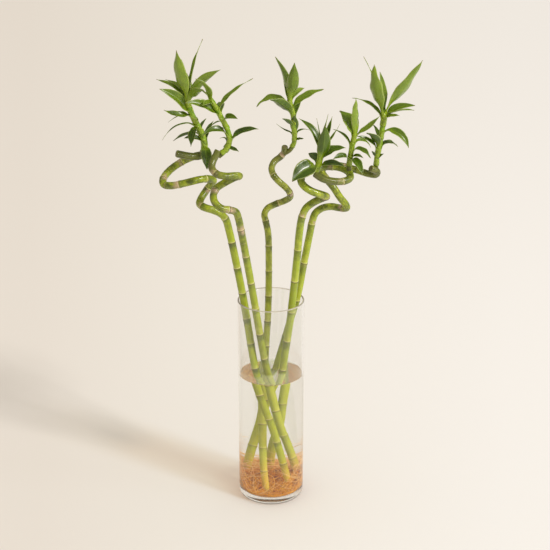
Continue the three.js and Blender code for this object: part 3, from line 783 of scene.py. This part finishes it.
# %% The shoots' stems and leaves
# Each shoot: its stem's radius at the foot and at the tip, its stem's route, and its leaves.
# Each leaf: place along the stem, compass angle, lean above level, length, width, arch, turn.
SHOOTS = {
    "shoot_1": (4.1, 3.6, [
        (-90, 2, 503), (-87, 0, 517), (-89, -1, 529), (-96, -2, 546), (-103, -2, 561), (-107, -2, 574),
        (-107, -2, 586),
    ], [
        (0.97, 150, 80, 48, 14, -3, 0), (0.985, -140, 75, 63, 20, -4, 25), (1, 10, 74, 74, 10, 3, 15),
        (0.95, -20, 41, 61, 13, 5, -60), (0.93, -55, 26, 40, 12, 4, -60), (0.95, 164, 27, 48, 12, 3, -5),
        (0.98, 144, 24, 41, 10, 3, 0), (0.66, -164, 42, 58, 16, 6, -60), (0.7, -150, 14, 41, 12, -4, -32),
        (0.7, 156, -23, 38, 4, 3, 30), (0.53, -168, -23, 50, 4, 9, -15), (0.5, -110, -44, 32, 13, 5, 15),
        (0.38, 160, -20, 43, 9, 3, 30), (0.24, -151, 15, 30, 9, 3, -38), (0.16, -80, -48, 34, 15, 6, 0),
        (0.25, 51, 49, 30, 8, 2, 5), (0.44, 68, 23, 24, 6, 1, -15), (0.85, 95, 48, 46, 12, 4, 10),
    ]),
    "shoot_2": (3.6, 2.9, [
        (-67, -44, 515), (-60, -43, 521), (-54, -42, 530), (-53, -42, 542), (-57, -43, 555), (-63, -44, 567),
        (-70, -45, 580), (-77, -46, 594),
    ], [
        (0.93, -146, 53, 38, 12, 4, 15), (0.9, -120, 2, 24, 8, 2, -30), (0.79, 12, 38, 60, 9, 4, 20),
        (0.66, -160, 25, 52, 15, 6, -45), (0.63, -38, 8, 26, 9, 3, 45), (0.58, 146, -28, 26, 4, 3, 25),
        (0.36, -156, 6, 36, 11, 8, -30), (0.44, 138, -12, 26, 5, 3, 30), (0.3, -12, 22, 42, 10, 5, 42),
        (0.18, -30, -10, 18, 6, 1, 35), (0.24, -140, 33, 17, 4, 4, 20), (0.28, 50, 16, 16, 5, 1, 15),
        (0.98, 165, 30, 22, 9, 2, 20), (0.72, 85, 8, 36, 11, 4, 0),
    ]),
    "shoot_3": (3.0, 3.3, [
        (18, 58, 490), (26, 56, 496), (31, 55, 506), (32, 54, 516), (31, 53, 530), (30, 53, 545),
        (26, 53, 560), (25, 53, 573),
    ], [
        (0.94, -174, 71, 60, 13, 4, 45), (0.97, -66, 73, 51, 17, -3, -25), (0.93, 47, 19, 32, 10, 3, 20),
        (0.81, 8, 27, 50, 12, 4, 35), (0.86, 167, -8, 47, 13, 10, -25), (0.7, -144, 33, 45, 15, 4, 50),
        (0.42, -93, 72, 26, 12, 2, 0), (0.52, -138, 32, 25, 7, 1, 40), (0.4, 161, 23, 28, 4, -2, -10),
        (0.4, 16, 7, 22, 4, 3, 15), (0.3, -21, 10, 14, 5, 0, 30), (0.9, 110, 58, 46, 12, 4, 0),
        (0.66, 70, 30, 36, 10, 4, 10),
    ]),
    "shoot_4": (3.6, 3.4, [
        (57, -63, 496), (60, -61, 505), (62, -60, 513), (64, -60, 524), (65, -60, 534),
    ], [
        (0.56, -56, 77, 46, 18, -3, -35), (0.7, 153, 54, 53, 13, 8, -15), (0.85, -156, 80, 42, 5, 1, 0),
        (0.85, 37, 77, 46, 8, 1, 0), (0.9, 36, 67, 42, 9, -2, 0), (0.9, -5, 55, 39, 7, -2, 20),
        (0.32, -146, -20, 43, 24, 5, -45), (0.42, 118, 10, 28, 11, 3, -25), (0.5, -11, 28, 38, 13, 5, 42),
        (0.28, -28, 8, 38, 12, 4, 28),
    ]),
    "shoot_5": (3.4, 3.0, [
        (101, -44, 493), (101, -43, 503), (102, -43, 512), (104, -44, 526), (106, -44, 538), (109, -44, 549),
    ], [
        (0.93, -94, 82, 48, 12, 2, 40), (0.86, 140, 50, 38, 20, 6, -22), (0.92, -11, 39, 40, 10, -3, 35),
        (0.62, 162, 39, 33, 7, 4, -5), (0.56, -27, -18, 28, 9, 5, 22), (0.36, -48, 10, 24, 6, 3, 30),
        (0.36, -53, -34, 30, 12, 4, 12), (0.72, 30, -21, 30, 7, 6, 30), (0.36, -149, 4, 26, 10, 3, -30),
        (0.8, 80, 40, 38, 11, 4, 0),
    ]),
    "shoot_6": (2.9, 3.9, [
        (139, -5, 484), (139, -5, 494), (140, -6, 506), (143, -6, 522), (145, -6, 539), (147, -6, 553),
        (147, -6, 568),
    ], [
        (0.97, -165, 76, 63, 20, -5, 40), (0.98, 164, 67, 74, 11, 3, -5), (1, 121, 76, 48, 12, 2, 5),
        (1, -7, 54, 80, 18, -3, -50), (0.92, -12, 18, 42, 11, 4, 45), (0.9, 19, 4, 43, 10, 3, 0),
        (0.87, -43, 14, 26, 7, 1, 30), (0.86, 169, 30, 49, 9, 6, -20), (0.66, -17, -30, 42, 12, 9, 42),
        (0.42, -140, 40, 32, 14, 3, 20), (0.5, 112, 34, 28, 8, 2, 15), (0.42, 27, -11, 29, 9, 5, 20),
        (0.36, -172, 31, 36, 8, 4, -30), (0.24, -146, 43, 13, 5, 0, 35), (0.22, -32, 35, 12, 5, 0, 50),
    ]),
}

print("leaves on each shoot:", {name: len(leaves) for name, (_, _, _, leaves) in SHOOTS.items()})

# %% Sizes of a leaf
# A full turn in radians, near enough for waves and for random directions.
FULL_TURN = 6.28
# Lengths are in mm. The sheath takes up the first part of the grid's rows. The line of a leaf is set at
# shares of the sheath back from its top, and at shares of the blade.
SHEATH_LENGTH, SHORTEST_SHEATH, SHEATH_PART = 11.0, 3.0, 0.2
SHEATH_BACKS, BLADE_PLACES = (1, 0.6, 0.22), (0.16, 0.32, 0.5, 0.68, 0.84, 1)
LEAF_ROWS, LEAF_COLUMNS, LEAF_THICKNESS = 26, 8, 0.35
# Each sheath lies outside those of the leaves above it.
FIRST_SHEATH_GAP, NEXT_SHEATH_GAP = 0.15, 0.025
# Places from the base of a leaf (0) to its tip (1), and shares of its greatest width there.
BLADE_WIDTHS = ((0, 0.1, 0.24, 0.4, 0.56, 0.72, 0.86, 1), (0.5, 0.62, 0.88, 1, 0.93, 0.68, 0.34, 0.02))
WHISKER_WIDTHS = ((0, 0.12, 0.28, 0.45, 0.6, 0.72, 0.82, 1), (0.6, 0.78, 1, 0.9, 0.62, 0.3, 0.12, 0.03))
# A leaf is a whisker if it is more than this many times as long as it is wide.
WHISKER_SLIMNESS = 5.2
print("a leaf is a grid of", LEAF_ROWS, "by", LEAF_COLUMNS, "faces")


# %% The line of a leaf
def leaf_spine(stem, radius_at, leaf):
    """The line of a leaf's midrib: up the stem in the sheath, then out along the blade."""
    at, compass, lean, length, _, arch, _ = leaf
    outward, chord, lift = towards(compass), towards(compass, lean), towards(compass, lean + 90)
    leave = at * stem.length
    corners = []
    for back in SHEATH_BACKS:
        distance = max(leave - SHEATH_LENGTH * back, 0.4 * (1 - back))
        heading = stem.heading(distance)
        side = (outward - heading * outward.dot(heading)).normalized()
        corners.append(stem.place(distance) + side * radius_at(distance))
    start = stem.place(leave)
    for t in BLADE_PLACES:
        stand_off = outward * radius_at(leave) * (1 - t) ** 2 * 0.6
        corners.append(start + chord * length * t + lift * arch * 4 * t * (1 - t) + stand_off)
    return Route(corners, per_span=8)


# %% Model one leaf
def model_leaf(stem, radius_at, leaf, draw):
    """One leaf: a grid laid along its midrib, rolled at the sheath and open in the blade."""
    at, compass, _, length, width, _, turn = leaf
    spine = leaf_spine(stem, radius_at, leaf)
    sheath = max(spine.length - length, SHORTEST_SHEATH)
    widths = WHISKER_WIDTHS if length > WHISKER_SLIMNESS * width else BLADE_WIDTHS
    level_side = towards(compass + 90)
    waves, phase, depth = draw.uniform(1.5, 3.0), draw.uniform(0, FULL_TURN), draw.uniform(0.02, 0.07)
    trough = draw.uniform(0.3, 0.6)
    select_only()
    bpy.ops.mesh.primitive_grid_add(x_subdivisions=LEAF_COLUMNS, y_subdivisions=LEAF_ROWS, size=1)
    sheet = bpy.context.object
    rows = {}
    for vertex in sheet.data.vertices:
        rows.setdefault(round(vertex.co.y, 4), []).append(vertex)
    for y, row in rows.items():
        v = y + 0.5
        if v < SHEATH_PART:
            distance = sheath * v / SHEATH_PART
            wrap = 2.5 - 1.5 * smooth_step(0.35, 1.0, v / SHEATH_PART)
        else:
            distance = sheath + (spine.length - sheath) * (v - SHEATH_PART) / (1 - SHEATH_PART)
            wrap = 1.0
        t = max(distance - sheath, 0) / (spine.length - sheath)
        tangent, middle = spine.heading(distance), spine.place(distance)
        side = (level_side - tangent * level_side.dot(tangent)).normalized()
        face = tangent.cross(side)
        angle = math.radians(turn) * smooth_step(0.0, 0.3, t)
        across = side * math.cos(angle) + face * math.sin(angle)
        upper = face * math.cos(angle) - side * math.sin(angle)
        roll = wrap + (trough - 1.0) * smooth_step(0.0, 0.22, t) - 0.2 * trough * smooth_step(0.6, 1, t)
        girth = wrap * (radius_at(stem.length * at) + 0.1)
        opening = smooth_step(-0.05, 0.2, t) if t > 0 else 0.0
        half = girth + (width / 2 * float(numpy.interp(t, *widths)) - girth) * opening
        bend = half / roll
        for vertex in row:
            x = vertex.co.x * 2
            wave = depth * width * math.sin(waves * FULL_TURN * t + phase + (2 if x > 0 else 0)) * abs(x) ** 2
            wave *= smooth_step(0.1, 0.4, t)
            crease = 0.26 * half * (abs(x) - 0.5) * smooth_step(0.05, 0.3, t)
            height = bend * (1 - math.cos(roll * x)) + wave + crease
            vertex.co = (middle + across * bend * math.sin(roll * x) + upper * height) * MM
    # Leaves higher up a stem get a lighter tone and lower ones a darker one: partly their age, and partly
    # painted light, the top leaves lit and the lower ones in shade.
    write_reading(sheet, "tone", [0.3 * draw.random() + 0.7 * at ** 1.5])
    return sheet


# %% Model the leaves and the stem of a shoot
STEM_STEP, STEM_SIDES_LEVEL = 1.5, 2


def model_leaves(name, seed):
    """Every leaf of a shoot in one mesh."""
    foot, tip, corners, leaves = SHOOTS[name]
    stem = Route(corners)
    draw = random.Random(seed)
    sheets = []
    for order, leaf in enumerate(sorted(leaves, reverse=True)):
        gap = FIRST_SHEATH_GAP + NEXT_SHEATH_GAP * order

        def radius_at(distance):
            return foot + (tip - foot) * distance / stem.length + gap

        sheets.append(model_leaf(stem, radius_at, leaf, draw))
    select_only(*sheets)
    bpy.ops.object.join()
    joined = bpy.context.object
    thickness = joined.modifiers.new("blade_thickness", "SOLIDIFY")
    thickness.thickness = LEAF_THICKNESS * MM
    thickness.offset = 0
    thickness.material_offset = 1
    bpy.ops.object.modifier_apply(modifier=thickness.name)
    bpy.ops.object.shade_smooth()
    return joined


def model_stem(name):
    """The shoot's own stem, inside the sheaths, with a blunt tip."""
    foot, tip, corners, _ = SHOOTS[name]
    stem = Route(corners)
    count = round(stem.length / STEM_STEP)
    shares = [i / count for i in range(count + 1)]
    stations = []
    for share in shares:
        blunting = math.sqrt(max(1 - max((share - 0.9) / 0.1, 0) ** 2, 0.02))
        stations.append((stem.place(stem.length * share), (foot + (tip - foot) * share) * blunting))
    tube = tubes(name + "_stem", [stations], STEM_SIDES_LEVEL)
    write_reading(tube, "share", shares)
    close_ends(tube, lip=0.3, sink=0)
    return tube


# %% [markdown]
# Leaf and stem skins
#
# A dracaena leaf is smooth and a little waxy, darker and glossier above than below, with fine veins
# that run side by side from base to tip. Light from behind glows through it, yellower than the light
# that it reflects, so some of the light is let into the blade. The young stem is brighter than the
# leaves, with brown old growth at its foot.

# %% Leaf and stem materials
# The veins are a wave across the blade: sixteen of them, coarser than the real ones so that they show.
VEIN_WAVES = 100.0
LEAF_LAYERS = (
    ("#2f460e", ("vein", -1.0, 1.0, 0.0, 0.16)),
    ("#86a03a", ("from_rib", 0.012, 0.045, 0.35, 0.0)),
    # Pale edges: partly the blade's own paler margin, partly a painted highlight along its rims.
    ("#b4bc76", ("from_rib", 0.42, 0.48, 0.0, 0.6)),
    ("#94ac24", ("along", 0.18, 0.42, 0.85, 0.0)),
    ("#8a7a52", ("along", 0.95, 0.995, 0.0, 0.8)),
)


def leaf_material(name, old, middling, young, roughness):
    """Leaf blade with veins along it, in the colours of old, middling and young leaves, low to high on a
    stem: the lighter tone up the stem is partly age and partly painted light.
    """
    material, tree = new_material(name)
    # Clouds about 14 mm across.
    seen = look_at(tree, "tone", cloud=(70.0, 3.0))
    across, along, _ = add(tree, "SeparateXYZ", {0: add(tree, "TexCoord").outputs["UV"]}).outputs
    cloud = add(tree, "Math", {0: seen["cloud"], 1: 0.35}, operation="MULTIPLY")
    # This tone is partly leaf age and partly painted light: lighter up the stem, darker below.
    age_and_painted_light = add(tree, "Math", {0: seen["tone"], 1: 0.7, 2: cloud}, operation="MULTIPLY_ADD")
    vein = add(tree, "Math", {0: across, 1: VEIN_WAVES}, operation="MULTIPLY")
    vein = add(tree, "Math", {0: vein}, operation="SINE")
    from_rib = add(tree, "Math", {0: across, 1: 0.5}, operation="SUBTRACT")
    from_rib = add(tree, "Math", {0: from_rib}, operation="ABSOLUTE")
    blade = add(tree, "ValToRGB", {0: age_and_painted_light}, ((0.2, old), (0.5, middling), (0.85, young)))
    blade = paint(tree, blade, LEAF_LAYERS, {"vein": vein, "from_rib": from_rib, "along": along})
    end_with(tree, {"Base Color": blade, "Roughness": roughness, "IOR": 1.45, "Specular IOR Level": 0.2,
                    "Subsurface Weight": 0.3, "Subsurface Radius": (0.7, 1.0, 0.25), "Subsurface Scale": MM,
                    "Coat Weight": 0.8, "Coat Roughness": 0.25},
             bump=(vein, 0.12, 0.2))
    return material


def stem_material():
    """Young green stem with brown old growth at its foot."""
    material, tree = new_material("young_green_stem")
    # Clouds about 8 mm across.
    seen = look_at(tree, "share", cloud=(120.0, 3.0))
    colour = add(tree, "ValToRGB", {0: seen["cloud"]}, ((0.3, "#648812"), (0.7, "#94b22a")))
    colour = paint(tree, colour, [("#655f36", ("share", 0.12, 0.3, 0.85, 0.0))], seen)
    end_with(tree, {"Base Color": colour, "Roughness": 0.4, "IOR": 1.45, "Subsurface Weight": 0.15,
                    "Subsurface Radius": (0.9, 1.2, 0.3), "Subsurface Scale": MM})
    return material


# %% Make the six shoots
FIRST_LEAF_SEED = 11

green_stem = stem_material()
leaf_upper = leaf_material("leaf_upper_waxy", "#344618", "#50690c", "#839a28", 0.34)
leaf_under = leaf_material("leaf_under_dull", "#526030", "#6a7a26", "#94a240", 0.5)
for seed, name in enumerate(SHOOTS, FIRST_LEAF_SEED):
    finish_piece(model_leaves(name, seed), name + "_leaves", "leaf_green", [leaf_upper, leaf_under], name)
    finish_piece(model_stem(name), name + "_stem", "leaf_green", [green_stem])

# %% [markdown]
# Roots
#
# Water roots of this plant are orange to red-brown threads about half a millimetre thick. They have
# matted into a felt on the glass floor that climbs a little up the wall, low in front and higher at
# the back and sides, with loose curls above it. Each thread wanders by small random turns, and a
# thin cushion below them stops the eye where the real felt is dense.

# %% Where there is room for roots
ROOT_FLOOR, ROOT_CLEARANCE = VASE_FLOOR + 0.4, 1.2
ROOT_REACH = INNER - ROOT_CLEARANCE
LOWEST_THREAD = ROOT_FLOOR + 0.6
FELT_FRONT, FELT_BACK, FELT_SIDES = 2.5, 23.5, 8.0
FRONT_EDGE, BACK_EDGE = -28, 10


def felt_height(x, y):
    """Top of the felt over its own floor, in mm: low in front, high at the back and at the sides."""
    back = smooth_step(FRONT_EDGE, BACK_EDGE, y)
    return FELT_FRONT + (FELT_BACK + FELT_SIDES * (x / ROOT_REACH) ** 2) * back


def room_at(height, clearance):
    """How far from the axis there is room inside the glass at a height: less in the rounded corner."""
    short = max(INNER_CORNER - (height - VASE_FLOOR), 0.0)
    return INNER - INNER_CORNER + math.sqrt(INNER_CORNER**2 - min(short, INNER_CORNER)**2) - clearance


print("felt from", felt_height(0, FRONT_EDGE), "to", felt_height(0, BACK_EDGE), "mm high")

# %% Let one thread wander
THREAD_STEPS = 13
# The most that a thread curls steadily, turns at random and changes its slope, at each step.
CURLING, TURNING, BOBBING = 0.35, 0.45, 0.28


def wander(draw, start, angle, stride, climb, ceiling):
    """The places of one thread that turns by small random steps and stays inside the glass."""
    places, slope = [start], climb
    curl = draw.uniform(-CURLING, CURLING)
    for _ in range(THREAD_STEPS - 1):
        x, y, z = places[-1]
        angle += curl + draw.uniform(-TURNING, TURNING)
        slope = 0.8 * slope + draw.uniform(-BOBBING, BOBBING) + 0.2 * climb
        x, y = x + math.cos(angle) * stride, y + math.sin(angle) * stride
        z = min(max(z + slope * stride, LOWEST_THREAD), ceiling(x, y))
        far, room = math.hypot(x, y), room_at(z, ROOT_CLEARANCE)
        if far > room:
            x, y = x * room / far, y * room / far
            wall = math.atan2(y, x)
            angle = wall + math.copysign(math.pi / 2, math.sin(angle - wall))
        places.append(Vector((x, y, z)))
    return places


print("a thread has", THREAD_STEPS, "places")

# %% The threads of the felt and the young ones
# A thread is its places and its radii in mm at its root and at its tip, thick enough to show.
FELT_THREADS, FUZZ_THREADS, CURL_THREADS = 560, 150, 70
FELT_STRIDE, FUZZ_STRIDE, CURL_STRIDE = 4.2, 2.4, 4.6
FELT_RISE, FUZZ_RISE, CURL_TOP = 2, 9.0, 78.0
FUZZ_RADII, CURL_RADII, FELT_TIP = (0.5, 0.2), (0.3, 0.12), 0.2


def around(far, angle):
    """The x and y of a place this far from the axis, in this direction."""
    return far * math.cos(angle), far * math.sin(angle)


def over_felt(rise):
    """A ceiling for threads, this far over the top of the felt."""
    return lambda x, y: ROOT_FLOOR + felt_height(x, y) + rise


def felt_threads(draw):
    """Threads that wander about in the felt, at all heights up to its top."""
    threads = []
    for _ in range(FELT_THREADS):
        angle, far = draw.uniform(0, FULL_TURN), ROOT_REACH * math.sqrt(draw.uniform(0.02, 1))
        height = ROOT_FLOOR + felt_height(*around(far, angle)) * draw.uniform(0.45, 1)
        far = min(far, room_at(height, ROOT_CLEARANCE))
        start = Vector((*around(far, angle), height))
        places = wander(draw, start, draw.uniform(0, FULL_TURN), FELT_STRIDE, 0.0, over_felt(FELT_RISE))
        threads.append((places, draw.uniform(0.35, 0.6), FELT_TIP))
    return threads


def young_threads(draw):
    """Short pale threads that stand out of the felt at the back, and long thin curls up the glass."""
    threads = []
    for _ in range(FUZZ_THREADS):
        angle, far = draw.uniform(0.25, 2.9), ROOT_REACH * draw.uniform(0.6, 0.98)
        x, y = around(far, angle)
        start = Vector((x, y, ROOT_FLOOR + felt_height(x, y)))
        places = wander(draw, start, draw.uniform(0, FULL_TURN), FUZZ_STRIDE, draw.uniform(-0.1, 0.5),
                        over_felt(FUZZ_RISE))
        threads.append((places, *FUZZ_RADII))
    for _ in range(CURL_THREADS):
        angle = draw.choice((0, math.pi)) + draw.uniform(-1.1, 1.1)
        x, y = around(ROOT_REACH * draw.uniform(0.8, 1), angle)
        start = Vector((x, y, ROOT_FLOOR + felt_height(x, y) * 0.6))
        places = wander(draw, start, angle + draw.choice((-1.5, 1.5)), CURL_STRIDE, draw.uniform(0.2, 0.75),
                        lambda x, y: CURL_TOP)
        threads.append((places, *CURL_RADII))
    return threads


def thread_mesh(name, threads, draw):
    """A mesh of square-sided threads, each with its own tone."""
    lines = [[(place, thick + (thin - thick) * i / (len(places) - 1)) for i, place in enumerate(places)]
             for places, thick, thin in threads]
    mesh = tubes(name, lines, 0, caps=True)
    write_reading(mesh, "tone", [draw.uniform(0.2, 1) for _ in threads])
    return mesh


# %% Model the roots
ROOT_SEED = 5
CUSHION_SIDES, CUSHION_BLANK, CUSHION_CUTS, CUSHION_SHARE = 48, 4, 5, 0.8


def model_cushion():
    """The dense middle of the felt: a disc whose top follows the felt's height."""
    cushion = cylinder(ROOT_REACH - 1, ROOT_FLOOR, ROOT_FLOOR + CUSHION_BLANK, CUSHION_SIDES,
                       end_fill_type="TRIFAN")
    pick(cushion, "FACE", lambda p: p.z > (ROOT_FLOOR + CUSHION_BLANK - 0.1) * MM)
    bpy.ops.mesh.subdivide(number_cuts=CUSHION_CUTS)
    bpy.ops.object.mode_set(mode="OBJECT")
    for vertex in cushion.data.vertices:
        x, y, z = vertex.co / MM
        if z > ROOT_FLOOR + CUSHION_BLANK - 1:
            z = ROOT_FLOOR + CUSHION_SHARE * felt_height(x, y)
        shrink = min(1, room_at(z, ROOT_CLEARANCE + 0.4) / max(math.hypot(x, y), 1))
        vertex.co = Vector((x * shrink, y * shrink, z)) * MM
    return cushion


def model_roots():
    """Felt threads, young threads and the cushion below them, joined in one mesh."""
    draw = random.Random(ROOT_SEED)
    felt = thread_mesh("felt", felt_threads(draw), draw)
    young = thread_mesh("young", young_threads(draw), draw)
    write_reading(young, "young", [1.0])
    select_only(felt, young, model_cushion())
    bpy.ops.object.join()
    bpy.ops.object.mode_set(mode="EDIT")
    bpy.ops.mesh.select_all(action="SELECT")
    bpy.ops.mesh.remove_doubles(threshold=0.01 * MM)
    face_outwards()
    bpy.ops.object.shade_smooth()
    return bpy.context.object


# %% [markdown]
# Root felt
#
# Wet living root has a soft, hardly shining skin. Old threads run from rust to straw, each its own
# shade, and young ones are cream. The felt turns pinkish where it climbs up the glass.

# %% Root material and the finished roots
ROOT_TINTS = ((0.2, "#6e3e08"), (0.4, "#c47c08"), (0.66, "#dc9c18"), (0.88, "#f4cc66"))
ROOT_LAYERS = (("#e3b27c", ("height", 0.033, 0.05, 0, 0.8)), ("#fbdc9c", ("young", 0, 1, 0, 0.75)))


def root_material():
    """Wet root felt, in patches about 7 mm across."""
    material, tree = new_material("wet_orange_root_felt")
    seen = look_at(tree, "tone", "young", patches=(140.0, 5.0, 0.7))
    patches = add(tree, "Math", {0: seen["patches"], 1: 0.6}, operation="MULTIPLY")
    shade = add(tree, "Math", {0: seen["tone"], 1: 0.5, 2: patches}, operation="MULTIPLY_ADD")
    colour = paint(tree, add(tree, "ValToRGB", {0: shade}, ROOT_TINTS), ROOT_LAYERS, seen)
    end_with(tree, {"Base Color": colour, "Roughness": 0.6, "Specular IOR Level": 0.04,
                    "Subsurface Weight": 0.1, "Subsurface Radius": (0.8, 0.4, 0.2), "Subsurface Scale": MM},
             lamp_tint="#fdfbf9")
    return material


finish_piece(model_roots(), "root_tangle", "root_orange", [root_material()], "roots")

# %% [markdown]
# Colour management and light paths
#
# The plain sRGB view keeps the given colours as they are. Light has to cross four walls of glass and
# water, so more clear bounces are allowed, and the grainy patches that glass would throw are left out.

# %% View and light paths
scene = bpy.context.scene
scene.view_settings.view_transform = "Standard"
for setting, value in (("max_bounces", 64), ("glossy_bounces", 40), ("transmission_bounces", 48),
                       ("transparent_max_bounces", 32), ("caustics_reflective", False),
                       ("caustics_refractive", False), ("use_denoising", True)):
    setattr(scene.cycles, setting, value)
print("view:", scene.view_settings.view_transform)
